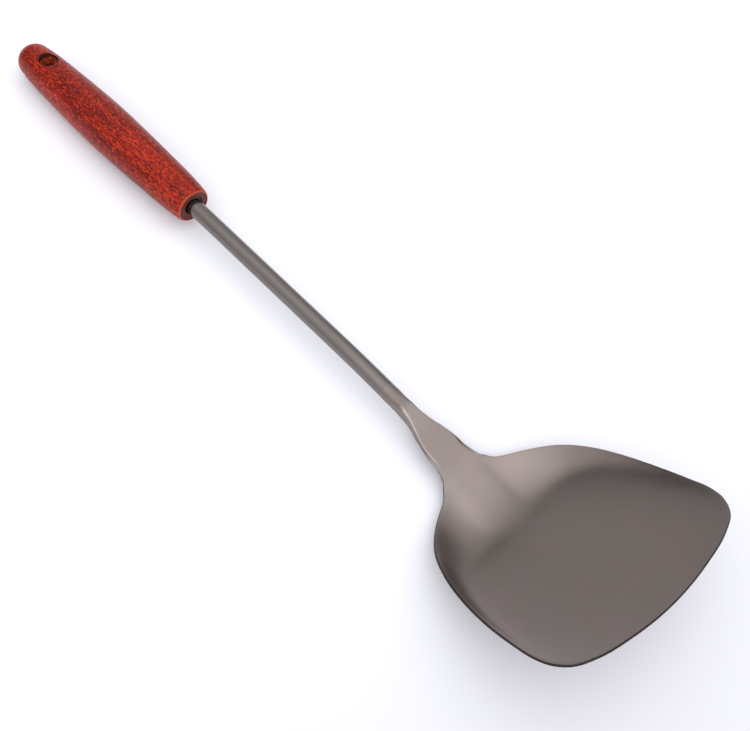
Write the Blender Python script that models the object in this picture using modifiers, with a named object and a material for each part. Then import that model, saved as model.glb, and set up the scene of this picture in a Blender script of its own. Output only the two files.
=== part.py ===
"""Wok spatula lying at rest: a stamped steel pan with a folded neck, a round tube shaft and a turned
wooden handle. Everything is drawn along the shaft's axis, then laid down so that the handle's belly and
the pan's heel touch the ground. Lengths are in metres."""

import math

import bmesh
import bpy
import numpy as np
from mathutils import Vector

for leftover in list(bpy.data.objects):
    bpy.data.objects.remove(leftover, do_unlink=True)

# Shaft: +X runs from the handle's front face (x = 0) to the pan, +Z is up.
shaft_radius = 0.0042
shaft_wall = 0.0011
shaft_out = 0.1355
shaft_in_handle = 0.0600

# Handle: its axis leaves the front face a little lower than the shaft's
handle_length = 0.1400
handle_droop = math.radians(1.8)
belly_radius = 0.0123
front_radius_share = 0.742
front_rim = 0.0007
mouth_radius = 0.0055
mouth_depth = 0.0060
mouth_chamfer = 0.0003
past_face = 0.0020
# Along the handle from its front face, and out from its axis, as shares of the length and of the belly.
handle_shares = (
    (0.012, 0.765),
    (0.055, 0.822),
    (0.100, 0.862),
    (0.220, 0.917),
    (0.360, 0.972),
    (0.500, 0.998),
    (0.640, 0.967),
    (0.760, 0.910),
    (0.860, 0.851),
    (0.930, 0.770),
    (0.965, 0.690),
    (0.985, 0.530),
    (0.996, 0.280),
    (1.000, 0.000),
)
handle_steps = 3

# Hanging hole, bored straight down through the handle near its butt
hole_from_butt = 0.0205
hole_radius = 0.0046
hole_flare = 0.0009
hole_straight = 0.0075
hole_reach = 0.0115

# Resin that fills the mouth of the handle's bore around the shaft
resin_set_back = 0.0006
resin_creep = 0.0005
glue_gap = 0.0001
end_gap = 0.0003

# Pan and neck: one stamped sheet. Its own frame starts at the root, where the neck runs into the pan.
sheet = 0.0012
root_x = 0.19425
root_z = -0.00882
rim_tilt = math.radians(26.0)
neck_fall = math.radians(16.0)
joint_gap = 0.0003

# Neck sections, from the shaft to the pan, as shares: place along the neck, half-width of the flat top,
# radius of the fold beside it, angle of the fold in half turns, and length of the straight flange.
neck_length = 0.0510
neck_half_width = 0.0110
neck_shares = (
    (0.000, 0.000, 1.000, 0.974, 0.000),
    (0.020, 0.000, 1.000, 0.974, 0.000),
    (0.070, 0.030, 0.845, 0.560, 1.040),
    (0.148, 0.065, 0.595, 0.525, 1.417),
    (0.252, 0.110, 0.417, 0.515, 1.550),
    (0.359, 0.209, 0.417, 0.510, 1.035),
    (0.473, 0.296, 0.430, 0.500, 1.010),
    (0.593, 0.414, 0.452, 0.472, 0.430),
    (0.706, 0.505, 0.476, 0.330, 0.260),
    (0.820, 0.615, 0.476, 0.125, 0.290),
    (0.940, 0.748, 0.476, 0.028, 0.360),
    (1.000, 0.864, 0.476, 0.000, 0.357),
)
neck_bend = 0.0030
neck_sag = 0.0008
neck_stations = 20
flat_steps = 3
side_steps = 10

# Pan outline in its own frame, as shares of its length and half-width, with the steps to the next point
pan_length = 0.1116
pan_half_width = 0.0529
rim_shares = (
    (-0.034, 0.245, 2),
    (-0.018, 0.297, 2),
    (0.006, 0.387, 3),
    (0.042, 0.509, 3),
    (0.134, 0.707, 3),
    (0.262, 0.845, 3),
    (0.400, 0.928, 3),
    (0.550, 0.979, 3),
    (0.690, 0.999, 3),
    (0.790, 1.000, 4),
    (0.862, 0.966, 4),
    (0.919, 0.883, 4),
    (0.958, 0.716, 3),
    (0.985, 0.425, 4),
    (1.000, 0.000, 0),
)
before_rim_share = (-0.056, 0.195)

# Where the walls start to fall from: the outline, but straight across the neck and past the front corners
wall_shares = (
    (0.000, 0.000),
    (0.000, 0.120),
    (-0.004, 0.240),
    (0.042, 0.509),
    (0.134, 0.707),
    (0.262, 0.845),
    (0.400, 0.928),
    (0.550, 0.979),
    (0.690, 0.999),
    (0.900, 1.015),
    (1.100, 1.040),
)
wall_steps = 12
wall_rise = math.tan(rim_tilt + neck_fall)
floor_rise = 0.148
front_drop = 0.0003
heel_blend = 0.75
rim_raise = 0.0007
rim_raise_over = 0.0300
dish_rise = 0.0068
dish_start_share = 0.40
rings = (1.0, 0.94, 0.88, 0.82, 0.76, 0.70, 0.64, 0.57, 0.49, 0.40, 0.30, 0.15, 0.0)
spine_start_share = 0.40
spine_end_share = 0.74

# Turned pieces
around = 48
hole_around = 32
merge = 0.00001

collection = bpy.data.collections.new("wok_spatula")
bpy.context.scene.collection.children.link(collection)
cutters = bpy.data.collections.new("cutters")
bpy.context.scene.collection.children.link(cutters)
cutters.hide_render = True


def material(name, colour, metallic, roughness):
    made = bpy.data.materials.new(name)
    made.use_nodes = True
    shader = made.node_tree.nodes["Principled BSDF"]
    shader.inputs["Base Color"].default_value = (*colour, 1.0)
    shader.inputs["Metallic"].default_value = metallic
    shader.inputs["Roughness"].default_value = roughness
    return made


pan_steel = material("pan_steel", (0.42, 0.40, 0.39), 1.0, 0.32)
shaft_steel = material("shaft_steel", (0.50, 0.49, 0.48), 1.0, 0.25)
red_wood = material("red_wood", (0.36, 0.06, 0.03), 0.0, 0.35)
black_resin = material("black_resin", (0.01, 0.01, 0.01), 0.0, 0.12)

laid_down = bpy.data.objects.new("laid_down", None)
collection.objects.link(laid_down)


def place(name, mesh, skin, where=collection):
    """An object holding the mesh, carried by the empty that lays the spatula down."""
    made = bpy.data.objects.new(name, mesh)
    if skin:
        mesh.materials.append(skin)
    where.objects.link(made)
    made.parent = laid_down
    return made


def turned(name, profile, skin, steps, axis="X", where=collection):
    """A piece turned about one axis, from points given as (along the axis, out from it)."""
    mesh = bpy.data.meshes.new(name)
    if axis == "X":
        points = [(along_axis, 0.0, out) for along_axis, out in profile]
    else:
        points = [(out, 0.0, along_axis) for along_axis, out in profile]
    edges = [(i, i + 1) for i in range(len(points) - 1)]
    mesh.from_pydata(points, edges, [])
    made = place(name, mesh, skin, where)
    screw = made.modifiers.new("turn", "SCREW")
    screw.axis = axis
    screw.steps = steps
    screw.render_steps = steps
    screw.use_merge_vertices = True
    screw.merge_threshold = merge
    screw.use_smooth_shade = True
    return made


def eased(knots, values, at):
    """A smooth curve through the values at the knots, read at the places given."""
    knots = np.asarray(knots, float)
    values = np.asarray(values, float)
    slopes = np.gradient(values, knots)
    at = np.clip(at, knots[0], knots[-1])
    left = np.clip(np.searchsorted(knots, at, side="right") - 1, 0, len(knots) - 2)
    span = knots[left + 1] - knots[left]
    t = (at - knots[left]) / span
    rise = values[left] * (1 + 2 * t) * (1 - t) ** 2 + slopes[left] * span * t * (1 - t) ** 2
    fall = values[left + 1] * (3 - 2 * t) * t**2 + slopes[left + 1] * span * t**2 * (t - 1)
    return rise + fall


def smooth_path(points, steps, before=None, after=None):
    """Points along a smooth path through those given. The two extra points only set how it starts and ends."""
    points = [tuple(p) for p in points]
    full = ([before] if before else []) + points + ([after] if after else [])
    full = np.array(full, float)
    reach = np.concatenate([[0.0], np.cumsum(np.linalg.norm(np.diff(full, axis=0), axis=1))])
    first = 1 if before else 0
    at = []
    for i, count in zip(range(first, first + len(points) - 1), steps):
        at += [reach[i] + (reach[i + 1] - reach[i]) * k / count for k in range(count)]
    at.append(reach[first + len(points) - 1])
    at = np.array(at)
    return np.column_stack([eased(reach, full[:, k], at) for k in range(full.shape[1])])


# Handle: the front face, the swelling side and the rounded butt in one turned profile
front_radius = belly_radius * front_radius_share
side_points = [(share * handle_length, out * belly_radius) for share, out in handle_shares]
butt_mirror = (side_points[-2][0], -side_points[-2][1])
side = smooth_path(side_points, [handle_steps] * (len(side_points) - 1), None, butt_mirror)
front_corner = [
    (front_rim * (1 - math.cos(a)), front_radius - front_rim * (1 - math.sin(a)))
    for a in (0.0, math.pi / 6, math.pi / 3)
]
handle_profile = [(0.0, 0.0)] + front_corner + [tuple(p) for p in side]
handle_profile[-1] = (handle_length, 0.0)
handle = turned("handle", [(-x, r) for x, r in handle_profile], red_wood, around)
handle.rotation_euler = (0.0, -handle_droop, 0.0)

# The bore's cutter follows the shaft: a wide mouth, then a close fit
bore_radius = shaft_radius + glue_gap
bore_depth = shaft_in_handle + end_gap
bore_profile = [
    (past_face, 0.0),
    (past_face, mouth_radius + mouth_chamfer),
    (0.0, mouth_radius + mouth_chamfer),
    (-mouth_chamfer, mouth_radius),
    (-mouth_depth, mouth_radius),
    (-mouth_depth, bore_radius),
    (-bore_depth, bore_radius),
    (-bore_depth, 0.0),
]
bore_cutter = turned("bore_cutter", bore_profile, None, around, "X", cutters)

# The hanging hole's cutter: straight inside, widening at both mouths
flare = [
    (hole_straight + (hole_reach - hole_straight) * k / 4, hole_radius + hole_flare * (k / 4) ** 2)
    for k in range(5)
]
hole_profile = [(hole_reach, 0.0)]
hole_profile += flare[::-1]
hole_profile += [(-z, r) for z, r in flare]
hole_profile += [(-hole_reach, 0.0)]
hole_cutter = turned("hole_cutter", hole_profile, None, hole_around, "Z", cutters)
hole_cutter.parent = handle
hole_cutter.location = (hole_from_butt - handle_length, 0.0, 0.0)

for cutter in (bore_cutter, hole_cutter):
    cutter.display_type = "WIRE"
    cutter.hide_render = True
    cut = handle.modifiers.new(cutter.name, "BOOLEAN")
    cut.operation = "DIFFERENCE"
    cut.solver = "EXACT"
    cut.object = cutter

# Resin in the mouth of the bore, a little below the front face and creeping up the shaft
resin_inner = shaft_radius + glue_gap
resin_outer = mouth_radius - glue_gap
resin_profile = [
    (-resin_set_back + resin_creep, resin_inner),
    (-resin_set_back + resin_creep / 5, resin_inner + (resin_outer - resin_inner) / 3),
    (-resin_set_back, (resin_inner + resin_outer) / 2),
    (-resin_set_back, resin_outer),
    (-mouth_depth + glue_gap, resin_outer),
    (-mouth_depth + glue_gap, resin_inner),
    (-resin_set_back + resin_creep, resin_inner),
]
resin = turned("resin", resin_profile, black_resin, around)

# Shaft tube, open at both ends
shaft_end = shaft_out - joint_gap / 2
shaft_profile = [
    (-shaft_in_handle, shaft_radius - shaft_wall),
    (shaft_end, shaft_radius - shaft_wall),
    (shaft_end, shaft_radius),
    (-shaft_in_handle, shaft_radius),
    (-shaft_in_handle, shaft_radius - shaft_wall),
]
shaft = turned("shaft", shaft_profile, shaft_steel, around)


# Pan: the height of the sheet's upper face over the rim's plane, in the pan's own frame
def wall_curve():
    points = [(x * pan_length, y * pan_half_width) for x, y in wall_shares]
    mirrored = (points[1][0], -points[1][1])
    return smooth_path(points, [wall_steps] * (len(points) - 1), mirrored)


wall_line = wall_curve()


def inside_wall(x, y):
    """Distance in from the line the walls fall from, negative outside it."""
    starts = wall_line[:-1]
    spans = np.diff(wall_line, axis=0)
    to_point = np.array([x, y]) - starts
    share = np.clip((to_point * spans).sum(axis=1) / (spans**2).sum(axis=1), 0.0, 1.0)
    away = to_point - share[:, None] * spans
    distance = np.hypot(away[:, 0], away[:, 1])
    nearest = distance.argmin()
    side_of = spans[nearest, 0] * to_point[nearest, 1] - spans[nearest, 1] * to_point[nearest, 0]
    return -math.copysign(distance[nearest], side_of)


def pan_height(x, y):
    y = abs(y)
    depth_of_floor = front_drop + floor_rise * (pan_length - x)
    depth_of_wall = wall_rise * (x if x < 0 and y < pan_half_width * 0.1 else inside_wall(x, y))
    blend = heel_blend * depth_of_floor
    overlap = max(blend - abs(depth_of_floor - depth_of_wall), 0.0) / blend
    depth = min(depth_of_floor, depth_of_wall) - overlap**2 * blend / 4
    forward = max(x / pan_length - dish_start_share, 0.0) / (1 - dish_start_share)
    raised = min(max(x / rim_raise_over, 0.0), 1.0)
    lift = rim_raise * raised**2 * (3 - 2 * raised)
    return lift + dish_rise * (y / pan_half_width) ** 2 * forward**2 - depth


def from_pan_frame(x, y, z):
    """The same point along the shaft."""
    return (
        root_x + x * math.cos(rim_tilt) - z * math.sin(rim_tilt),
        y,
        root_z + x * math.sin(rim_tilt) + z * math.cos(rim_tilt),
    )


# Neck: sections across the shaft, from a round tube's to a flat plate's
neck_table = np.array(neck_shares)
neck_start = shaft_out + joint_gap / 2


def plate_height(x):
    """The neck's flat top: level with the shaft, then falling to the pan."""
    sag = neck_sag * math.sin(math.pi * (x - neck_start) / neck_length) ** 2
    falling = root_z + (root_x - x) * math.tan(neck_fall) - sag
    gap = abs(falling - shaft_radius)
    overlap = max(neck_bend - gap, 0.0) / neck_bend
    return min(falling, shaft_radius) - overlap**2 * neck_bend / 4


def neck_section(share):
    """Half of a section, from the middle of its top out and down to the flange's edge."""
    x = neck_start + share * neck_length
    flat, fold, turn, flange = (
        float(eased(neck_table[:, 0], neck_table[:, k], share)) for k in (1, 2, 3, 4)
    )
    flat = max(flat, 0.0) * neck_half_width
    fold = fold * shaft_radius
    turn = max(turn, 0.0) * math.pi
    flange = max(flange, 0.0) * shaft_radius
    top = plate_height(x)
    points = [(x, flat * k / flat_steps, top) for k in range(flat_steps + 1)]
    for k in range(1, side_steps + 1):
        along_side = (fold * turn + flange) * k / side_steps
        angle = min(along_side / fold, turn)
        straight = max(along_side - fold * turn, 0.0)
        y = flat + fold * math.sin(angle) + straight * math.cos(angle)
        z = top - fold * (1 - math.cos(angle)) - straight * math.sin(angle)
        points.append((x, y, z))
    return points


class Half:
    """Half of the sheet's upper face, as points used once each."""

    def __init__(self):
        self.points = []
        self.index = {}
        self.faces = []

    def point(self, place):
        key = tuple(round(c / merge) for c in place)
        if key not in self.index:
            self.index[key] = len(self.points)
            self.points.append(place)
        return self.index[key]

    def face(self, *corners):
        loop = []
        for corner in corners:
            if corner not in loop:
                loop.append(corner)
        if len(loop) > 2:
            self.faces.append(loop)


half = Half()
sections = [neck_section(k / (neck_stations - 1)) for k in range(neck_stations)]
rows = [[half.point(p) for p in section] for section in sections]
for near, far in zip(rows[:-1], rows[1:]):
    for k in range(len(near) - 1):
        half.face(near[k], far[k], far[k + 1], near[k + 1])

# Pan: rings that shrink from the outline to a spine along the middle
last = sections[-1]
across_root = [
    ((p[0] - root_x) * math.cos(rim_tilt) + (p[2] - root_z) * math.sin(rim_tilt), p[1]) for p in last
]
rim_points = [across_root[-1]]
rim_points += [(x * pan_length, y * pan_half_width) for x, y, _ in rim_shares[1:]]
rim_steps = [count for _, _, count in rim_shares[:-1]]
before_rim = (before_rim_share[0] * pan_length, before_rim_share[1] * pan_half_width)
after_rim = (rim_points[-2][0], -rim_points[-2][1])
rim = smooth_path(rim_points, rim_steps, before_rim, after_rim)
outline = across_root + [tuple(p) for p in rim[1:]]
outline[-1] = (outline[-1][0], 0.0)
spine_from = spine_start_share * pan_length
spine_to = spine_end_share * pan_length
ring_rows = []
for ring in rings:
    row = []
    for i, (x, y) in enumerate(outline):
        spine = min(max(x, spine_from), spine_to)
        here = (spine + ring * (x - spine), ring * y)
        on_root = ring == 1.0 and i < len(across_root)
        place_here = last[i] if on_root else from_pan_frame(*here, pan_height(*here))
        row.append(half.point(place_here))
    ring_rows.append(row)
for outer, inner in zip(ring_rows[:-1], ring_rows[1:]):
    for k in range(len(outer) - 1):
        half.face(outer[k], inner[k], inner[k + 1], outer[k + 1])

blade_mesh = bpy.data.meshes.new("blade")
blade_mesh.from_pydata(half.points, [], half.faces)
cleaner = bmesh.new()
cleaner.from_mesh(blade_mesh)
bmesh.ops.recalc_face_normals(cleaner, faces=cleaner.faces)
cleaner.faces.ensure_lookup_table()
floor_face = min(cleaner.faces, key=lambda f: (f.calc_center_median() - Vector((root_x, 0, 0))).length)
if floor_face.normal.z < 0:
    bmesh.ops.reverse_faces(cleaner, faces=cleaner.faces)
cleaner.to_mesh(blade_mesh)
cleaner.free()
blade_mesh.shade_smooth()
blade = place("blade", blade_mesh, pan_steel)
mirror = blade.modifiers.new("other_half", "MIRROR")
mirror.use_axis = (False, True, False)
mirror.use_clip = True
mirror.merge_threshold = merge
thick = blade.modifiers.new("sheet", "SOLIDIFY")
thick.thickness = sheet
thick.offset = -1.0
thick.use_even_offset = True
thick.use_quality_normals = True


# Lay the spatula down: pitch it until the handle and the pan touch the ground together
def corners_of(obj):
    graph = bpy.context.evaluated_depsgraph_get()
    evaluated = obj.evaluated_get(graph)
    mesh = evaluated.to_mesh()
    points = np.empty(len(mesh.vertices) * 3, np.float32)
    mesh.vertices.foreach_get("co", points)
    evaluated.to_mesh_clear()
    placed = np.array(evaluated.matrix_world)
    return points.reshape(-1, 3) @ placed[:3, :3].T + placed[:3, 3]


def pitched(points, pitch):
    x = points[:, 0] * math.cos(pitch) + points[:, 2] * math.sin(pitch)
    z = points[:, 2] * math.cos(pitch) - points[:, 0] * math.sin(pitch)
    return np.column_stack([x, points[:, 1], z])


bpy.context.view_layer.update()
handle_points = corners_of(handle)
blade_points = corners_of(blade)
low, high = math.radians(-20.0), math.radians(20.0)
for _ in range(60):
    pitch = (low + high) / 2
    if pitched(handle_points, pitch)[:, 2].min() > pitched(blade_points, pitch)[:, 2].min():
        high = pitch
    else:
        low = pitch
lying = np.concatenate([pitched(handle_points, pitch), pitched(blade_points, pitch)])
middle_x = (lying[:, 0].min() + lying[:, 0].max()) / 2
laid_down.rotation_euler = (0.0, pitch, 0.0)
laid_down.location = (-middle_x, 0.0, -lying[:, 2].min())
bpy.context.view_layer.update()
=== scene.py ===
"""Looks of the wok spatula: a stamped steel pan, a tube shaft and a varnished wooden handle, lying on a pale
table under soft light. Lengths are in metres, in the frame's own axes."""

import math

import bmesh
import bpy
import numpy as np
from mathutils import Matrix, Vector


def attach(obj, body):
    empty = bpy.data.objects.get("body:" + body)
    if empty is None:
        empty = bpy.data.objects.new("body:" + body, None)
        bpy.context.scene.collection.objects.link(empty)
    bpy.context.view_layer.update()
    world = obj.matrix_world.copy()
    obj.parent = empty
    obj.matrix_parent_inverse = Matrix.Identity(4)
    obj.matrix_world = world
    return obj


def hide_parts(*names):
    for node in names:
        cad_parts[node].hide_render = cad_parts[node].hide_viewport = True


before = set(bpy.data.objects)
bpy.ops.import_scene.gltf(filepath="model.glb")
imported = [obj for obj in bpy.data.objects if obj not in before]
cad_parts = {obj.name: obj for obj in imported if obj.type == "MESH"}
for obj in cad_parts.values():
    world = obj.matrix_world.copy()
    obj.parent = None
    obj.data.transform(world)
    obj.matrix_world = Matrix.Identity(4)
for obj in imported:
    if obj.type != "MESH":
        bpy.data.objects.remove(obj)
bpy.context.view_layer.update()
scene = bpy.context.scene
scene.view_settings.view_transform = "Standard"

# Camera at the photograph's place, 750 by 731 pixels
camera_place = (0.256743, -0.221750, 0.519576)
camera_right = (0.68200, 0.73002, 0.04418)
camera_down = (0.64025, -0.56675, -0.51853)
camera_forward = (-0.35350, 0.38193, -0.85391)
camera_lens = 62.352
camera_sensor = 36.0
camera_near = 0.01
camera_far = 60.0

# How the spatula lies: the shaft's frame has +X from the handle's front face to the pan
rest_pitch = math.radians(0.23008836)
rest_place = (-0.07763467, 0.0, 0.01435320)

# Shaft and the weld where it meets the neck
shaft_radius = 0.0042
shaft_wall = 0.0011
shaft_out = 0.1370
shaft_bend_from = 0.1050
shaft_bend_drop = 0.0010
shaft_in_handle = 0.0600
shaft_chamfer = 0.00012
shaft_bend_steps = 16
shaft_crease = math.radians(30)
weld_half_width = 0.0003
weld_rise = 0.000006
weld_sink = 0.0004
weld_shoulder = 0.6
weld_shoulder_rise = 0.7

# Handle
handle_length = 0.1400
handle_droop = math.radians(1.8)
belly_radius = 0.0123
front_radius_share = 0.742
front_rim = 0.0009
face_step = 0.00025
face_step_in = 0.0011
mouth_radius = 0.0050
mouth_shift = (0.0, 0.00030, 0.00022)
mouth_depth = 0.0060
mouth_round = 0.0005
past_face = 0.0020
# Rows of (share of the length, share of the belly's radius)
handle_shares = (
    (0.012, 0.765),
    (0.055, 0.822),
    (0.100, 0.862),
    (0.220, 0.917),
    (0.360, 0.972),
    (0.500, 0.998),
    (0.640, 0.967),
    (0.760, 0.910),
    (0.860, 0.851),
    (0.930, 0.770),
    (0.965, 0.690),
    (0.985, 0.530),
    (0.996, 0.280),
    (1.000, 0.000),
)
hole_from_butt = 0.0210
hole_turn = math.radians(6.0)
hole_radius = 0.0049
hole_flare = 0.0012
hole_flare_power = 2.5
hole_flare_steps = 8
hole_around = 96
hole_straight = 0.0075
hole_reach = 0.0116
# Painted shade inside the hanging hole, above and below a lit band: its heights, its fade and its wobble
hole_shade_top = 0.0196
hole_shade_low = 0.0150
hole_shade_fade = 0.0016
hole_shade_wobble = 0.0012
bore_gap = 0.0001
handle_side_steps = 8
front_rim_steps = 6
handle_edge_round = 0.00022
handle_edge_steps = 2
handle_edge_angle = math.radians(38)
handle_crease = math.radians(32)
# Painted highlight along the handle's front rim: where it starts and where it is full
rim_light_from = 0.0010
rim_light_full = 0.0004

# Resin: its face is a ring with lumps of (count around, size, turn)
resin_steps = 96
resin_across = (0.0, 0.12, 0.3, 0.5, 0.7, 0.88, 1.0)
resin_high_side = math.radians(38)
resin_lumps = ((3, 0.00008, 1.0), (5, 0.00006, 0.4))
resin_sink = 0.0011
resin_low_sink = 0.0008
resin_climb = 0.0002
resin_fade_power = 1.5
resin_swell = 0.00045
resin_lip = 0.0001
resin_lip_power = 3
resin_crease = math.radians(50)

# Pan and neck
sheet = 0.0012
root_x = 0.19425
root_z = -0.00882
rim_tilt = math.radians(26.0)
neck_fall = math.radians(16.0)
neck_length = 0.0495
neck_half_width = 0.0110
# Rows of (share of the length, flat, fold, turn, flange, top): the flat is a share of the neck's half width,
# the turn a share of half a circle, and the fold's radius, the flange and the top's height are shares of
# the shaft's radius
neck_shares = (
    (0.0000, 0.000, 1.000, 0.974, 0.000, 0.762),
    (0.0505, 0.000, 1.000, 0.850, 0.048, 0.714),
    (0.1110, 0.023, 0.952, 0.620, 0.333, 0.667),
    (0.1515, 0.055, 0.762, 0.540, 0.857, 0.631),
    (0.1920, 0.100, 0.571, 0.520, 1.095, 0.595),
    (0.2730, 0.182, 0.357, 0.510, 1.430, 0.500),
    (0.3535, 0.231, 0.300, 0.505, 1.170, 0.214),
    (0.4340, 0.319, 0.260, 0.500, 0.930, -0.071),
    (0.5150, 0.433, 0.230, 0.480, 0.680, -0.350),
    (0.5960, 0.553, 0.210, 0.380, 0.290, -0.560),
    (0.6770, 0.633, 0.180, 0.280, 0.275, -0.750),
    (0.7575, 0.640, 0.260, 0.200, 0.340, -0.940),
    (0.8380, 0.650, 0.330, 0.105, 0.320, -1.130),
    (0.9370, 0.748, 0.476, 0.028, 0.360, -1.372),
    (1.0000, 0.864, 0.476, 0.000, 0.357, -1.571),
)
neck_stations = 60
flat_steps = 4
side_steps = 14
# The fold line's painted highlight: which strips of faces get it, along which shares of the neck, and where
# it fades in and out
fold_highlight_strip = (0, 1, 2)
fold_from_share = 0.22
fold_to_share = 0.97
fold_fades_in = (0.0705, 0.0745)
fold_fades_out = (0.0940, 0.1065)
pan_length = 0.1116
pan_half_width = 0.0529
# Rows of (share of the pan's length, share of its half width, steps to the next row)
rim_shares = (
    (-0.034, 0.245, 3),
    (-0.018, 0.297, 3),
    (0.006, 0.387, 4),
    (0.042, 0.509, 5),
    (0.134, 0.707, 5),
    (0.262, 0.845, 5),
    (0.400, 0.928, 5),
    (0.550, 0.979, 5),
    (0.690, 0.999, 5),
    (0.790, 1.000, 6),
    (0.862, 0.966, 6),
    (0.919, 0.883, 6),
    (0.958, 0.716, 5),
    (0.985, 0.425, 5),
    (1.000, 0.000, 0),
)
before_rim_share = (-0.056, 0.195)
# The line where the wall meets the rim's plane, in the same shares
wall_shares = (
    (0.000, 0.000),
    (0.000, 0.120),
    (-0.004, 0.240),
    (0.042, 0.509),
    (0.134, 0.707),
    (0.262, 0.845),
    (0.400, 0.928),
    (0.550, 0.979),
    (0.690, 0.999),
    (0.900, 1.015),
    (1.100, 1.040),
)
wall_steps = 24
wide_from = 3
plate_rise = math.tan(rim_tilt + neck_fall)
wall_rise = 1.05
floor_rise = 0.146
front_drop = 0.0003
heel_blend = 1.20
bowl_flat_share = 0.18
bowl_share = 0.70
bowl_power = 2.6
lip_power = 13.0
wall_steepens = 0.30
wall_steepens_from = 0.0090
wall_steepens_over = 0.0240
side_blend = 0.50
side_blend_from = 0.0400
straight_heel_share = 0.1
least_depth_share = 0.001
rim_raise = 0.0007
rim_raise_over = 0.0300
dish_rise = 0.0068
dish_start_share = 0.40
# Sizes of the rings of faces, from the outline to the line along the middle
ring_shares = (
    1.0, 0.97, 0.94, 0.91, 0.88, 0.85, 0.82, 0.79, 0.76, 0.73, 0.70, 0.67, 0.64, 0.61, 0.57, 0.53, 0.49,
    0.445, 0.40, 0.35, 0.30, 0.225, 0.15, 0.075, 0.0,
)
spine_start_share = 0.40
spine_end_share = 0.74
edge_round = 0.00034
edge_steps = 3
edge_angle = math.radians(50)

# Table, with painted light falloff: its colour darkens along one direction and comes back far away
table_reach = 14.0
light_fall_direction = (0.86, -0.51, 1.0)
light_fall_from = 0.06
light_fall_full = 0.32
light_fall_fades_from = 0.5
light_fall_gone = 1.5

# Light: an even surround, with broad lights and dark sides of (azimuth, elevation, strength, sharpness),
# both angles in degrees
surround_tint = (0.975, 0.98, 1.0, 1.0)
even_level = 0.75
overhead = (0, 90, 0.5, 3)
key_light = (310, 50, 1.2, 3)
fill_light = (40, 52, 0.7, 8)
dark_behind_handle = (205, 20, -0.75, 8)
dark_beside_pan = (88, 5, -0.55, 12)

# Steps around a turned piece, and the distance under which two points are one
around = 128
merge = 0.00001

# Places of the skins on the pan (the fold's skin holds its painted highlight) and on the handle, and the tint
# that the pan and its fold line share
sheet_skin, edge_skin, fold_highlight_skin = 0, 1, 2
end_skin, hole_skin = 1, 2
sheet_tint = (0.206, 0.174, 0.158)

laid_down = Matrix.Translation(rest_place) @ Matrix.Rotation(rest_pitch, 4, "Y")
root = "root"


# Materials: a small kit for building shader trees
class Tree:
    """Adds nodes to a material or world and joins them up."""

    def __init__(self, owner):
        owner.use_nodes = True
        self.tree = owner.node_tree
        self.tree.nodes.clear()

    def node(self, kind, **settings):
        made = self.tree.nodes.new(kind)
        for key, value in settings.items():
            setattr(made, key, value)
        return made

    def join(self, source, target):
        self.tree.links.new(source, target)

    def feed(self, socket, value):
        if isinstance(value, bpy.types.NodeSocket):
            self.join(value, socket)
        elif value is not None:
            socket.default_value = value

    def mapped(self, stretch, offset=(0.0, 0.0, 0.0)):
        coords = self.node("ShaderNodeTexCoord")
        mapping = self.node("ShaderNodeMapping")
        mapping.inputs["Scale"].default_value = stretch
        mapping.inputs["Location"].default_value = offset
        self.join(coords.outputs["Object"], mapping.inputs["Vector"])
        return mapping.outputs["Vector"]

    def coordinates(self, stretch=(1.0, 1.0, 1.0), offset=(0.0, 0.0, 0.0)):
        """The three coordinates, each as a socket of its own."""
        parts = self.node("ShaderNodeSeparateXYZ")
        self.join(self.mapped(stretch, offset), parts.inputs[0])
        return parts.outputs

    def noise(self, stretch, detail, roughness, distortion=0.0, offset=(0.0, 0.0, 0.0)):
        vector = self.mapped(stretch, offset)
        made = self.node("ShaderNodeTexNoise")
        self.join(vector, made.inputs["Vector"])
        made.inputs["Scale"].default_value = 1.0
        made.inputs["Detail"].default_value = detail
        made.inputs["Roughness"].default_value = roughness
        made.inputs["Distortion"].default_value = distortion
        return made.outputs["Fac"]

    def ramp(self, value, stops):
        made = self.node("ShaderNodeValToRGB")
        points = made.color_ramp.elements
        while len(points) < len(stops):
            points.new(0.5)
        for point, (place, colour) in zip(points, stops):
            point.position = place
            point.color = (*colour, 1.0)
        self.feed(made.inputs["Fac"], value)
        return made.outputs["Color"]

    def span(self, value, low, high, to_low, to_high, kind="SMOOTHSTEP"):
        made = self.node("ShaderNodeMapRange", interpolation_type=kind)
        self.feed(made.inputs["Value"], value)
        made.inputs["From Min"].default_value = low
        made.inputs["From Max"].default_value = high
        made.inputs["To Min"].default_value = to_low
        made.inputs["To Max"].default_value = to_high
        return made.outputs["Result"]

    def math(self, operation, a, b=None):
        made = self.node("ShaderNodeMath", operation=operation)
        self.feed(made.inputs[0], a)
        self.feed(made.inputs[1], b)
        return made.outputs[0]

    def mix(self, share, a, b):
        made = self.node("ShaderNodeMix", data_type="RGBA")
        self.feed(made.inputs[0], share)
        self.feed(made.inputs[6], (*a, 1.0) if isinstance(a, tuple) else a)
        self.feed(made.inputs[7], (*b, 1.0) if isinstance(b, tuple) else b)
        return made.outputs[2]

    def bump(self, height, strength, distance):
        made = self.node("ShaderNodeBump")
        self.feed(made.inputs["Height"], height)
        made.inputs["Strength"].default_value = strength
        made.inputs["Distance"].default_value = distance
        return made.outputs["Normal"]

    def surface(self, colour, roughness, metallic=0.0, normal=None, **constants):
        shader = self.node("ShaderNodeBsdfPrincipled")
        self.join(colour, shader.inputs["Base Color"])
        self.feed(shader.inputs["Roughness"], roughness)
        shader.inputs["Metallic"].default_value = metallic
        if normal is not None:
            self.join(normal, shader.inputs["Normal"])
        for name, value in constants.items():
            shader.inputs[name.replace("_", " ")].default_value = value
        output = self.node("ShaderNodeOutputMaterial")
        self.join(shader.outputs[0], output.inputs[0])


def new_material(name):
    made = bpy.data.materials.new(name)
    return made, Tree(made)


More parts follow.
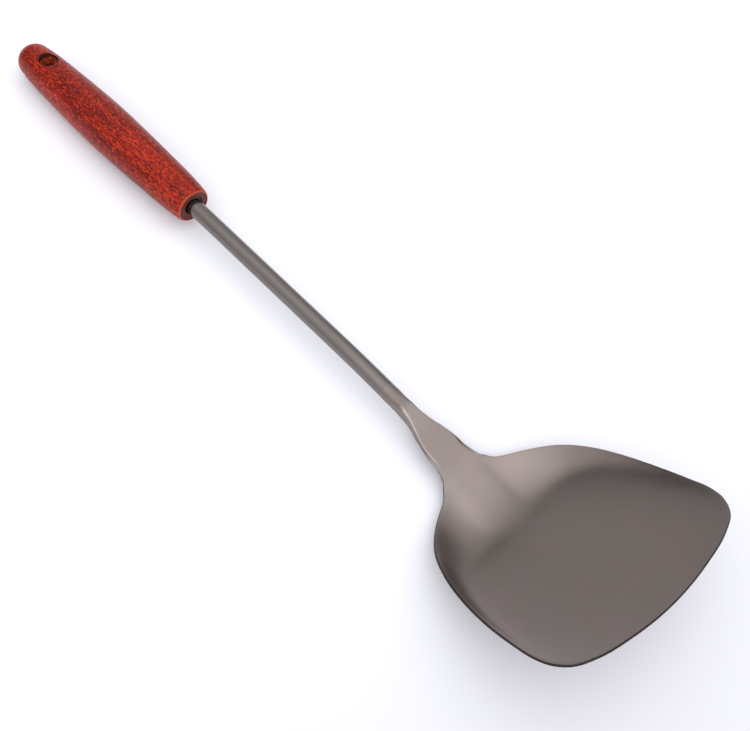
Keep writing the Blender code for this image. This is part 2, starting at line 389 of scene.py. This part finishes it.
def pan_steel():
    """Dull satin steel: faint cloudy tints, fine rolling lines along the pan, and a few hair scratches."""
    made, t = new_material("pan_steel")
    cloud = t.noise((60.0, 60.0, 60.0), 3.0, 0.55, 0.4)
    patch = t.noise((170.0, 170.0, 170.0), 2.0, 0.5, offset=(3.1, 0.7, 1.9))
    tints = ((0.30, (0.214, 0.174, 0.160)), (0.52, sheet_tint), (0.72, (0.198, 0.175, 0.156)))
    tint = t.ramp(cloud, tints)
    colour = t.mix(t.span(patch, 0.35, 0.7, 0.0, 0.5), tint, (0.218, 0.178, 0.167))
    lines = t.noise((70.0, 2600.0, 900.0), 3.0, 0.6)
    scratch = t.noise((260.0, 5200.0, 1500.0), 2.0, 0.7, offset=(9.0, 2.0, 4.0))
    fine = t.math("ADD", lines, t.math("MULTIPLY", scratch, 0.6))
    rough = t.math("ADD", t.span(lines, 0.3, 0.7, 0.285, 0.315), t.span(patch, 0.3, 0.7, -0.005, 0.007))
    normal = t.bump(fine, 0.05, 0.0001)
    t.surface(colour, rough, 1.0, normal)
    return made


def fold_painted_highlight():
    """The neck's fold line, with a painted highlight: brighter than the sheet beside it and fading out at
    both ends.
    """
    made, t = new_material("fold_painted_highlight")
    ridge_noise = t.noise((300.0, 1200.0, 1200.0), 3.0, 0.6)
    highlight_tone = t.ramp(ridge_noise, ((0.3, (0.290, 0.240, 0.218)), (0.7, (0.360, 0.298, 0.270))))
    along = t.coordinates()[0]
    begins = t.span(along, *fold_fades_in, 0.0, 1.0)
    ends = t.span(along, *fold_fades_out, 1.0, 0.0)
    colour = t.mix(t.math("MULTIPLY", begins, ends), sheet_tint, highlight_tone)
    t.surface(colour, t.span(ridge_noise, 0.3, 0.7, 0.26, 0.34), 1.0, t.bump(ridge_noise, 0.05, 0.0001))
    return made


def sheet_edge():
    """The sheet's cut edge: darker and rougher than its faces."""
    made, t = new_material("sheet_edge")
    marks = t.noise((900.0, 900.0, 900.0), 3.0, 0.6)
    colour = t.ramp(marks, ((0.3, (0.028, 0.023, 0.020)), (0.7, (0.060, 0.049, 0.040))))
    t.surface(colour, t.span(marks, 0.3, 0.7, 0.30, 0.42), 1.0, t.bump(marks, 0.12, 0.0001))
    return made


def shaft_steel():
    """Tube steel, smoother than the pan, with drawing lines along its length."""
    made, t = new_material("shaft_steel")
    lines = t.noise((18.0, 1500.0, 1500.0), 3.0, 0.55)
    fine = t.noise((60.0, 5200.0, 5200.0), 2.0, 0.6, offset=(1.0, 5.0, 2.0))
    colour = t.ramp(lines, ((0.3, (0.162, 0.142, 0.132)), (0.7, (0.198, 0.177, 0.164))))
    rough = t.span(fine, 0.3, 0.7, 0.17, 0.24)
    normal = t.bump(t.math("ADD", lines, t.math("MULTIPLY", fine, 0.5)), 0.06, 0.0001)
    t.surface(colour, rough, 1.0, normal)
    return made


def weld_steel():
    """The weld, ground flush across the tube."""
    made, t = new_material("weld_steel")
    rings = t.noise((3800.0, 300.0, 300.0), 2.0, 0.6)
    colour = t.ramp(rings, ((0.35, (0.166, 0.146, 0.136)), (0.7, (0.194, 0.171, 0.159))))
    t.surface(colour, t.span(rings, 0.3, 0.7, 0.22, 0.28), 1.0, t.bump(rings, 0.05, 0.0001))
    return made


def red_wood():
    """Red hardwood under clear varnish: long bands, dense short flecks of orange and dark red, and a painted
    highlight along the front rim.
    """
    made, t = new_material("red_wood")
    bands = t.noise((20.0, 230.0, 230.0), 2.0, 0.5, 0.6, offset=(2.0, 1.0, 0.0))
    wave = t.noise((110.0, 700.0, 700.0), 2.0, 0.6, 1.0, offset=(5.0, 1.5, 3.0))
    fleck = t.noise((560.0, 1500.0, 1500.0), 2.0, 0.6, 0.4, offset=(1.0, 7.0, 2.0))
    pores = t.noise((600.0, 2000.0, 2000.0), 2.0, 0.6, 0.3, offset=(8.0, 3.0, 6.0))
    figure = t.math("ADD", t.math("MULTIPLY", bands, 0.65), t.math("MULTIPLY", wave, 0.35))
    base = t.ramp(
        figure,
        (
            (0.36, (0.100, 0.0035, 0.0030)),
            (0.46, (0.175, 0.0065, 0.0035)),
            (0.54, (0.260, 0.0110, 0.0040)),
            (0.64, (0.340, 0.0200, 0.0060)),
        ),
    )
    warm = t.mix(t.span(fleck, 0.52, 0.66, 0.0, 0.85), base, (0.560, 0.050, 0.008))
    dark = t.mix(t.span(fleck, 0.49, 0.36, 0.0, 0.80), warm, (0.070, 0.003, 0.003))
    body = t.mix(t.span(pores, 0.55, 0.66, 0.0, 0.85), dark, (0.035, 0.003, 0.003))
    # Painted highlight: a lighter orange band along the front rim, where the rounded corner catches light
    from_front = t.coordinates(offset=(-rest_place[0], 0.0, 0.0))[0]
    painted_rim_highlight = t.span(from_front, -rim_light_from, -rim_light_full, 0.0, 0.45)
    colour = t.mix(painted_rim_highlight, body, (0.600, 0.100, 0.035))
    height = t.math("SUBTRACT", t.math("MULTIPLY", fleck, 0.5), t.span(pores, 0.54, 0.66, 0.0, 0.7))
    normal = t.bump(height, 0.14, 0.0002)
    rough = t.span(pores, 0.4, 0.65, 0.32, 0.44)
    t.surface(colour, rough, 0.0, normal, Coat_Weight=0.10, Coat_Roughness=0.24, Specular_IOR_Level=0.12)
    return made


def end_grain():
    """The handle's front face: darker end grain with turning rings."""
    made, t = new_material("end_grain")
    _, y, z = t.coordinates(offset=(0.0, 0.0, -rest_place[2]))
    radius = t.math("SQRT", t.math("ADD", t.math("MULTIPLY", y, y), t.math("MULTIPLY", z, z)))
    wobble = t.noise((500.0, 500.0, 500.0), 2.0, 0.5)
    turns = t.math("SINE", t.math("ADD", t.math("MULTIPLY", radius, 9000.0), t.math("MULTIPLY", wobble, 5.0)))
    specks = t.noise((1500.0, 1800.0, 1800.0), 2.0, 0.6, offset=(4.0, 4.0, 4.0))
    tones = ((0.0, (0.050, 0.009, 0.007)), (1.0, (0.115, 0.020, 0.014)))
    rings = t.ramp(t.span(turns, -1.0, 1.0, 0.0, 1.0), tones)
    colour = t.mix(t.span(specks, 0.45, 0.7, 0.0, 0.6), rings, (0.150, 0.030, 0.022))
    normal = t.bump(turns, 0.25, 0.0001)
    t.surface(colour, 0.45, 0.0, normal, Specular_IOR_Level=0.25)
    return made


def raw_wood():
    """Inside the hanging hole: unvarnished and streaked, with painted shade above and below a lit band."""
    made, t = new_material("raw_wood")
    streak = t.noise((500.0, 1100.0, 350.0), 3.0, 0.6)
    tones = ((0.32, (0.120, 0.011, 0.004)), (0.52, (0.340, 0.045, 0.011)), (0.70, (0.580, 0.130, 0.045)))
    lit = t.ramp(streak, tones)
    up = t.coordinates()[2]
    wobble = t.math("MULTIPLY", t.noise((420.0, 420.0, 420.0), 2.0, 0.5), hole_shade_wobble)
    height = t.math("ADD", up, wobble)
    # Painted shade: darker above and below a lit band inside the hole
    top = t.span(height, hole_shade_top - hole_shade_fade, hole_shade_top, 0.0, 0.95)
    low = t.span(height, hole_shade_low, hole_shade_low - hole_shade_fade, 0.0, 0.90)
    colour = t.mix(low, t.mix(top, lit, (0.030, 0.004, 0.003)), (0.035, 0.005, 0.003))
    t.surface(colour, 0.6, 0.0, t.bump(streak, 0.3, 0.0002), Specular_IOR_Level=0.2)
    return made


def black_resin():
    """Glossy glue, slightly lumpy."""
    made, t = new_material("black_resin")
    lumps = t.noise((700.0, 700.0, 700.0), 2.0, 0.5)
    tone = t.ramp(lumps, ((0.3, (0.006, 0.006, 0.006)), (0.7, (0.016, 0.014, 0.013))))
    t.surface(tone, t.span(lumps, 0.3, 0.7, 0.10, 0.18), 0.0, t.bump(lumps, 0.25, 0.0003))
    return made


def table_top():
    """A pale table with painted light falloff: its colour darkens a little along one direction, and comes
    back far away.
    """
    made, t = new_material("table_top")
    cloud = t.noise((1.5, 1.5, 1.5), 2.0, 0.5)
    colour = t.ramp(cloud, ((0.3, (0.795, 0.795, 0.840)), (0.7, (0.810, 0.810, 0.850))))
    # Painted light falloff: the table darkens along one direction, deepening the shadows there, and is pale
    # again far away
    x, y, _ = t.coordinates(light_fall_direction)
    along = t.math("ADD", x, y)
    light_falls = t.span(along, light_fall_from, light_fall_full, 0.0, 1.0, "LINEAR")
    comes_back = t.span(along, light_fall_fades_from, light_fall_gone, 1.0, 0.0)
    fall = t.math("MULTIPLY", light_falls, comes_back)
    t.surface(t.mix(fall, colour, (0.600, 0.595, 0.645)), 0.8, 0.0, None, Specular_IOR_Level=0.0)
    return made


# Shapes
def eased(knots, values, at):
    """A smooth curve through the values at the knots, read at the places given."""
    knots = np.asarray(knots, float)
    values = np.asarray(values, float)
    slopes = np.gradient(values, knots)
    at = np.clip(at, knots[0], knots[-1])
    left = np.clip(np.searchsorted(knots, at, side="right") - 1, 0, len(knots) - 2)
    span = knots[left + 1] - knots[left]
    t = (at - knots[left]) / span
    rise = values[left] * (1 + 2 * t) * (1 - t) ** 2 + slopes[left] * span * t * (1 - t) ** 2
    fall = values[left + 1] * (3 - 2 * t) * t**2 + slopes[left + 1] * span * t**2 * (t - 1)
    return rise + fall


def smooth_path(points, steps, before=None, after=None):
    """A smooth path through the points given. The two extra points only set how it starts and ends."""
    points = [tuple(p) for p in points]
    first = [before] if before else []
    last = [after] if after else []
    full = np.array(first + points + last, float)
    reach = np.concatenate([[0.0], np.cumsum(np.linalg.norm(np.diff(full, axis=0), axis=1))])
    start = len(first)
    at = []
    for i, count in zip(range(start, start + len(points) - 1), steps):
        at += [reach[i] + (reach[i + 1] - reach[i]) * k / count for k in range(count)]
    at.append(reach[start + len(points) - 1])
    at = np.array(at)
    return np.column_stack([eased(reach, full[:, k], at) for k in range(full.shape[1])])


def placed(name, mesh, skins, node=None, where=laid_down):
    """An object whose mesh is moved from the shaft's frame to where it lies, riding the spatula."""
    mesh.transform(where)
    made = bpy.data.objects.new(name, mesh)
    scene.collection.objects.link(made)
    for skin in skins:
        mesh.materials.append(skin)
    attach(made, root)
    if node:
        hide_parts(node)
    return made


def turned_mesh(name, profile, steps=around, axis="X"):
    """A closed mesh turned about one axis from (along, out) points, whose ends may lie on the axis."""
    mesh = bpy.data.meshes.new(name)
    made = bmesh.new()
    rows = []
    for along, out in profile:
        count = 1 if out < merge else steps
        row = []
        for k in range(count):
            a = 2 * math.pi * k / steps
            y, z = out * math.sin(a), out * math.cos(a)
            row.append(made.verts.new((along, y, z) if axis == "X" else (y, z, along)))
        rows.append(row)
    for near, far in zip(rows, rows[1:]):
        for k in range(steps):
            n = k + 1
            corners = [near[k % len(near)], far[k % len(far)], far[n % len(far)], near[n % len(near)]]
            loop = [c for i, c in enumerate(corners) if c not in corners[:i]]
            if len(loop) > 2:
                made.faces.new(loop)
    if profile[0] == profile[-1]:
        bmesh.ops.remove_doubles(made, verts=made.verts, dist=merge)
    bmesh.ops.recalc_face_normals(made, faces=made.faces)
    made.to_mesh(mesh)
    made.free()
    mesh.shade_smooth()
    return mesh


# Pan and neck
def wall_curve():
    """Where the wall meets the rim's plane: from the heel's middle out along the rim and past the toe."""
    points = [(x * pan_length, y * pan_half_width) for x, y in wall_shares]
    mirrored = (points[1][0], -points[1][1])
    return smooth_path(points, [wall_steps] * (len(points) - 1), mirrored)


wall_line = wall_curve()
wide_line = wall_line[wide_from * wall_steps :]


def inside_wall(x, y):
    """How far a place lies inside that line, below nought outside it."""
    starts = wall_line[:-1]
    spans = np.diff(wall_line, axis=0)
    to_point = np.array([x, y]) - starts
    share = np.clip((to_point * spans).sum(axis=1) / (spans**2).sum(axis=1), 0.0, 1.0)
    away = to_point - share[:, None] * spans
    distance = np.hypot(away[:, 0], away[:, 1])
    nearest = distance.argmin()
    side_of = spans[nearest, 0] * to_point[nearest, 1] - spans[nearest, 1] * to_point[nearest, 0]
    return -math.copysign(distance[nearest], side_of)


def half_width(x):
    """Half the pan's width at a place along it, where the rim runs outward from the heel."""
    return float(np.interp(x, wide_line[:, 0], wide_line[:, 1]))


def smooth_share(value):
    """A soft step from 0 to 1."""
    value = min(max(value, 0.0), 1.0)
    return value**2 * (3 - 2 * value)


def pan_height(x, y):
    """A ramp that carries on the neck's plate, blended into a shallow bowl that rises to a steeper lip."""
    y = abs(y)
    across = min(y / half_width(x), 1.0)
    bowl = (max(across - bowl_flat_share, 0.0) / (1 - bowl_flat_share)) ** bowl_power
    left_of_depth = max(1 - bowl_share * bowl - (1 - bowl_share) * across**lip_power, least_depth_share)
    depth_of_floor = (front_drop + floor_rise * (pan_length - x)) * left_of_depth
    past_heel = smooth_share((x - wall_steepens_from) / wall_steepens_over)
    at_side = smooth_share(y / side_blend_from)
    steeper = 1 + wall_steepens * past_heel * at_side
    inside = x if x < 0 and y < pan_half_width * straight_heel_share else inside_wall(x, y)
    depth_of_wall = (wall_rise * steeper if inside > 0 else plate_rise) * inside
    blend = (heel_blend + (side_blend - heel_blend) * at_side) * depth_of_floor
    overlap = max(blend - abs(depth_of_floor - depth_of_wall), 0.0) / blend
    depth = min(depth_of_floor, depth_of_wall) - overlap**2 * blend / 4
    forward = max(x / pan_length - dish_start_share, 0.0) / (1 - dish_start_share)
    lift = rim_raise * smooth_share(x / rim_raise_over)
    return lift + dish_rise * (y / pan_half_width) ** 2 * forward**2 - depth


def from_pan_frame(x, y, z):
    """Turns a place in the rim's tilted frame into one in the shaft's frame."""
    return (
        root_x + x * math.cos(rim_tilt) - z * math.sin(rim_tilt),
        y,
        root_z + x * math.sin(rim_tilt) + z * math.cos(rim_tilt),
    )


neck_table = np.array(neck_shares)


def neck_section(share):
    """Half a section across the neck: a flat top, a fold that turns down, and a straight flange."""
    x = shaft_out + share * neck_length
    places, *columns = neck_table.T
    flat, fold, turn, flange, top = (float(eased(places, column, share)) for column in columns)
    flat = max(flat, 0.0) * neck_half_width
    fold = fold * shaft_radius
    turn = max(turn, 0.0) * math.pi
    flange = max(flange, 0.0) * shaft_radius
    top = top * shaft_radius
    points = [(x, flat * k / flat_steps, top) for k in range(flat_steps + 1)]
    for k in range(1, side_steps + 1):
        along_side = (fold * turn + flange) * k / side_steps
        angle = min(along_side / fold, turn)
        straight = max(along_side - fold * turn, 0.0)
        y = flat + fold * math.sin(angle) + straight * math.cos(angle)
        z = top - fold * (1 - math.cos(angle)) - straight * math.sin(angle)
        points.append((x, y, z))
    return points


class Half:
    """Half of the sheet's upper face, as points used once each."""

    def __init__(self):
        self.points = []
        self.index = {}
        self.faces = []
        self.skins = []

    def point(self, place):
        key = tuple(round(c / merge) for c in place)
        if key not in self.index:
            self.index[key] = len(self.points)
            self.points.append(place)
        return self.index[key]

    def face(self, *corners, skin=sheet_skin):
        loop = []
        for corner in corners:
            if corner not in loop:
                loop.append(corner)
        if len(loop) > 2:
            self.faces.append(loop)
            self.skins.append(skin)


def add_neck(half):
    """Adds the neck's faces, and gives its last section, where the pan starts."""
    sections = [neck_section(k / (neck_stations - 1)) for k in range(neck_stations)]
    rows = [[half.point(p) for p in section] for section in sections]
    for i, (near, far) in enumerate(zip(rows[:-1], rows[1:])):
        share = (i + 0.5) / (neck_stations - 1)
        # Painted highlight on the first strips of the fold
        painted_highlight_faces = fold_highlight_strip if fold_from_share < share < fold_to_share else ()
        for k in range(len(near) - 1):
            skin = fold_highlight_skin if k - flat_steps in painted_highlight_faces else sheet_skin
            half.face(near[k], far[k], far[k + 1], near[k + 1], skin=skin)
    return sections[-1]


def pan_outline(across_root):
    """Half the pan's outline in the rim's frame: across the neck's end, then along the rim to the toe."""
    rim_points = [across_root[-1]] + [(x * pan_length, y * pan_half_width) for x, y, _ in rim_shares[1:]]
    before_rim = (before_rim_share[0] * pan_length, before_rim_share[1] * pan_half_width)
    after_rim = (rim_points[-2][0], -rim_points[-2][1])
    rim = smooth_path(rim_points, [count for _, _, count in rim_shares[:-1]], before_rim, after_rim)
    outline = across_root + [tuple(p) for p in rim[1:]]
    outline[-1] = (outline[-1][0], 0.0)
    return outline


def add_bowl(half, root_section):
    """Adds the pan's faces, in rings that shrink from the outline to a line along the middle."""
    across_root = []
    for x, y, z in root_section:
        along = (x - root_x) * math.cos(rim_tilt) + (z - root_z) * math.sin(rim_tilt)
        across_root.append((along, y))
    outline = pan_outline(across_root)
    spine_from = spine_start_share * pan_length
    spine_to = spine_end_share * pan_length
    ring_rows = []
    for ring in ring_shares:
        row = []
        for i, (x, y) in enumerate(outline):
            spine = min(max(x, spine_from), spine_to)
            here = (spine + ring * (x - spine), ring * y)
            on_root = ring == 1.0 and i < len(across_root)
            place = root_section[i] if on_root else from_pan_frame(*here, pan_height(*here))
            row.append(half.point(place))
        ring_rows.append(row)
    for outer, inner in zip(ring_rows[:-1], ring_rows[1:]):
        for k in range(len(outer) - 1):
            half.face(outer[k], inner[k], inner[k + 1], outer[k + 1])


def pan_mesh():
    """Half of the sheet's upper face, facing up."""
    half = Half()
    add_bowl(half, add_neck(half))
    mesh = bpy.data.meshes.new("pan")
    mesh.from_pydata(half.points, [], half.faces)
    for face, skin in zip(mesh.polygons, half.skins):
        face.material_index = skin
    cleaner = bmesh.new()
    cleaner.from_mesh(mesh)
    bmesh.ops.recalc_face_normals(cleaner, faces=cleaner.faces)
    heel = Vector((root_x, 0, 0))
    heel_face = min(cleaner.faces, key=lambda f: (f.calc_center_median() - heel).length)
    if heel_face.normal.z < 0:
        bmesh.ops.reverse_faces(cleaner, faces=cleaner.faces)
    cleaner.to_mesh(mesh)
    cleaner.free()
    mesh.shade_smooth()
    return mesh


pan = placed("pan", pan_mesh(), [pan_steel(), sheet_edge(), fold_painted_highlight()], "blade")
mirror = pan.modifiers.new("other_half", "MIRROR")
mirror.use_axis = (False, True, False)
mirror.use_clip = True
mirror.merge_threshold = merge
thick = pan.modifiers.new("sheet", "SOLIDIFY")
thick.thickness = sheet
thick.offset = -1.0
thick.use_even_offset = True
thick.use_quality_normals = True
thick.material_offset_rim = edge_skin
rounded = pan.modifiers.new("edges", "BEVEL")
rounded.width = edge_round
rounded.segments = edge_steps
rounded.limit_method = "ANGLE"
rounded.angle_limit = edge_angle

# Shaft: a tube that butts the neck, with the ground weld over the joint
steel = shaft_steel()
bend_to = shaft_out - shaft_chamfer
bend_places = [
    shaft_bend_from + (bend_to - shaft_bend_from) * k / shaft_bend_steps for k in range(shaft_bend_steps)
]
shaft_profile = [
    (-shaft_in_handle, shaft_radius - shaft_wall),
    (shaft_out, shaft_radius - shaft_wall),
    (shaft_out, shaft_radius - shaft_chamfer),
    (bend_to, shaft_radius),
]
shaft_profile += [(x, shaft_radius) for x in reversed(bend_places)]
shaft_profile += [
    (-shaft_in_handle, shaft_radius),
    (-shaft_in_handle, shaft_radius - shaft_wall),
]


def bent(mesh):
    """The shaft's last stretch dips a little towards the neck."""
    for point in mesh.vertices:
        share = max(point.co.x - shaft_bend_from, 0.0) / (shaft_out - shaft_bend_from)
        point.co.z -= shaft_bend_drop * share**2
    return mesh


tube = placed("tube", bent(turned_mesh("tube", shaft_profile)), [steel], "shaft")
tube.data.set_sharp_from_angle(angle=shaft_crease)

shoulder_radius = shaft_radius + weld_rise * weld_shoulder_rise
weld_profile = [
    (shaft_out - weld_half_width, shaft_radius - weld_sink),
    (shaft_out - weld_half_width, shaft_radius - weld_rise),
    (shaft_out - weld_half_width * weld_shoulder, shoulder_radius),
    (shaft_out, shaft_radius + weld_rise),
    (shaft_out + weld_half_width * weld_shoulder, shoulder_radius),
    (shaft_out + weld_half_width, shaft_radius - weld_rise),
    (shaft_out + weld_half_width, shaft_radius - weld_sink),
    (shaft_out - weld_half_width, shaft_radius - weld_sink),
]
placed("weld", bent(turned_mesh("weld", weld_profile)), [weld_steel()])

# Handle: turned, then bored for the shaft and for hanging
front_radius = belly_radius * front_radius_share
side_points = [(share * handle_length, out * belly_radius) for share, out in handle_shares]
butt_mirror = (side_points[-2][0], -side_points[-2][1])
side = smooth_path(side_points, [handle_side_steps] * (len(side_points) - 1), None, butt_mirror)
front_corner = [
    (front_rim * (1 - math.cos(a)), front_radius - front_rim * (1 - math.sin(a)))
    for a in [math.pi / 2 * k / front_rim_steps for k in range(front_rim_steps)]
]
face_edge = front_radius - face_step_in
handle_profile = [(face_step, 0.0), (face_step, face_edge - face_step), (0.0, face_edge)]
handle_profile += front_corner + [tuple(p) for p in side]
handle_profile[-1] = (handle_length, 0.0)
handle_axis = laid_down @ Matrix.Rotation(-handle_droop, 4, "Y")
handle_skins = (red_wood(), end_grain(), raw_wood())
handle_mesh = turned_mesh("grip", [(-x, r) for x, r in handle_profile])
for face in handle_mesh.polygons:
    centre = face.center
    if centre.x > -face_step * 1.5 and math.hypot(centre.y, centre.z) < face_edge + face_step:
        face.material_index = end_skin
grip = placed("grip", handle_mesh, handle_skins, "handle", handle_axis)


def cutter(name, mesh, where, skin_place):
    """A shape to be cut out of the handle, whose cut faces get the skin at the place given."""
    made = bpy.data.objects.new(name, mesh)
    scene.collection.objects.link(made)
    made.matrix_world = where
    for skin in handle_skins:
        mesh.materials.append(skin)
    for face in mesh.polygons:
        face.material_index = skin_place
    return made


bore_radius = shaft_radius + bore_gap
mouth_profile = [
    (past_face, 0.0),
    (past_face, mouth_radius + mouth_round * 2),
    (-face_step + past_face * 0.2, mouth_radius + mouth_round * 1.1),
    (-face_step, mouth_radius + mouth_round * 0.7),
    (-face_step - mouth_round * 0.4, mouth_radius + mouth_round * 0.2),
    (-face_step - mouth_round, mouth_radius),
    (-mouth_depth, mouth_radius),
    (-mouth_depth, 0.0),
]
mouth_place = laid_down @ Matrix.Translation(mouth_shift)
mouth_cut = cutter("mouth_cut", turned_mesh("mouth_cut", mouth_profile), mouth_place, end_skin)
bore_end = -shaft_in_handle - bore_gap
bore_profile = [(-face_step, 0.0), (-face_step, bore_radius), (bore_end, bore_radius), (bore_end, 0.0)]
bore_cut = cutter("bore_cut", turned_mesh("bore_cut", bore_profile), laid_down, end_skin)
flare = []
for k in range(hole_flare_steps + 1):
    flare_height = hole_straight + (hole_reach - hole_straight) * k / hole_flare_steps
    flare.append((flare_height, hole_radius + hole_flare * (k / hole_flare_steps) ** hole_flare_power))
hole_profile = [(hole_reach, 0.0)] + flare[::-1] + [(-z, r) for z, r in flare] + [(-hole_reach, 0.0)]
to_hole = Matrix.Translation((hole_from_butt - handle_length, 0.0, 0.0))
hole_place = handle_axis @ Matrix.Rotation(-hole_turn, 4, "X") @ to_hole
hole_mesh = turned_mesh("hole_cut", hole_profile, hole_around, "Z")
hole_cut = cutter("hole_cut", hole_mesh, hole_place, hole_skin)
cutters = (mouth_cut, bore_cut, hole_cut)
bpy.context.view_layer.update()
for tool in cutters:
    cut = grip.modifiers.new(tool.name, "BOOLEAN")
    cut.operation = "DIFFERENCE"
    cut.solver = "EXACT"
    cut.object = tool
bpy.context.view_layer.update()
finished = grip.evaluated_get(bpy.context.evaluated_depsgraph_get())
drilled = bpy.data.meshes.new_from_object(finished)
grip.modifiers.clear()
grip.data = drilled
drilled.set_sharp_from_angle(angle=handle_crease)
for tool in cutters:
    bpy.data.objects.remove(tool)
edges = grip.modifiers.new("edges", "BEVEL")
edges.width = handle_edge_round
edges.segments = handle_edge_steps
edges.limit_method = "ANGLE"
edges.angle_limit = handle_edge_angle


# Resin: a lumpy ring that climbs the shaft on one side
def resin_place(angle, across, x):
    """A place on the ring, from the shaft at 0 across to the mouth's wall at 1."""
    inner = shaft_radius + bore_gap / 2
    outer = mouth_radius - bore_gap / 2
    radius = inner + (outer - inner) * across
    y, z = mouth_shift[1] * across, mouth_shift[2] * across
    return x, radius * math.sin(angle) + y, radius * math.cos(angle) + z


def resin_face(angle, across):
    """How far in front of the handle's face the resin's surface lies, below nought behind it."""
    high = 0.5 + 0.5 * math.cos(angle - resin_high_side)
    lump = sum(size * math.sin(count * angle + turn) for count, size, turn in resin_lumps)
    climb = resin_climb * high * (1 - across) ** resin_fade_power
    swell = climb + resin_swell * high * math.sin(math.pi * across)
    sink = -resin_sink - resin_low_sink * (1 - high) ** resin_fade_power
    return sink + swell + lump + resin_lip * (1 - across) ** resin_lip_power


def resin_mesh():
    mesh = bpy.data.meshes.new("glue")
    made = bmesh.new()
    columns = []
    for k in range(resin_steps):
        a = 2 * math.pi * k / resin_steps
        places = [resin_place(a, s, resin_face(a, s)) for s in resin_across]
        places += [resin_place(a, s, -mouth_depth + bore_gap) for s in (1.0, 0.0)]
        columns.append([made.verts.new(place) for place in places])
    for k in range(resin_steps):
        near, far = columns[k], columns[(k + 1) % resin_steps]
        for j in range(len(near)):
            n = (j + 1) % len(near)
            made.faces.new((near[j], near[n], far[n], far[j]))
    bmesh.ops.recalc_face_normals(made, faces=made.faces)
    made.to_mesh(mesh)
    made.free()
    mesh.shade_smooth()
    mesh.set_sharp_from_angle(angle=resin_crease)
    return mesh


placed("glue", resin_mesh(), [black_resin()], "resin")

# Table
table_mesh = bpy.data.meshes.new("table")
table_signs = ((-1, -1), (1, -1), (1, 1), (-1, 1))
table_corners = [(x * table_reach, y * table_reach, 0) for x, y in table_signs]
table_mesh.from_pydata(table_corners, [], [(0, 1, 2, 3)])
table = bpy.data.objects.new("table", table_mesh)
scene.collection.objects.link(table)
table_mesh.materials.append(table_top())


# Light: a soft studio surround, the same from all sides but for the broad changes named above
def surround():
    """An even world with three broad lights, and two dark sides behind the handle and beside the pan."""
    world = bpy.data.worlds.new("surround")
    scene.world = world
    t = Tree(world)
    direction = t.node("ShaderNodeTexCoord").outputs["Generated"]

    def broad(azimuth, elevation, strength, sharpness):
        """A soft round change of level about one direction."""
        a, e = math.radians(azimuth), math.radians(elevation)
        dot = t.node("ShaderNodeVectorMath", operation="DOT_PRODUCT")
        t.join(direction, dot.inputs[0])
        dot.inputs[1].default_value = (math.cos(a) * math.cos(e), math.sin(a) * math.cos(e), math.sin(e))
        near = t.math("MULTIPLY", t.math("SUBTRACT", dot.outputs["Value"], 1.0), sharpness)
        return t.math("MULTIPLY", t.math("EXPONENT", near), strength)

    level = even_level
    for light in (overhead, key_light, fill_light, dark_behind_handle, dark_beside_pan):
        level = t.math("ADD", level, broad(*light))
    background = t.node("ShaderNodeBackground")
    background.inputs["Color"].default_value = surround_tint
    t.join(level, background.inputs["Strength"])
    output = t.node("ShaderNodeOutputWorld")
    t.join(background.outputs[0], output.inputs[0])


surround()

# Camera
camera_data = bpy.data.cameras.new("view")
camera_data.lens = camera_lens
camera_data.sensor_width = camera_sensor
camera_data.sensor_fit = "HORIZONTAL"
camera_data.clip_start = camera_near
camera_data.clip_end = camera_far
camera = bpy.data.objects.new("view", camera_data)
scene.collection.objects.link(camera)
turn = Matrix((camera_right, [-c for c in camera_down], [-c for c in camera_forward])).transposed()
camera.matrix_world = Matrix.Translation(camera_place) @ turn.to_4x4()
scene.camera = camera
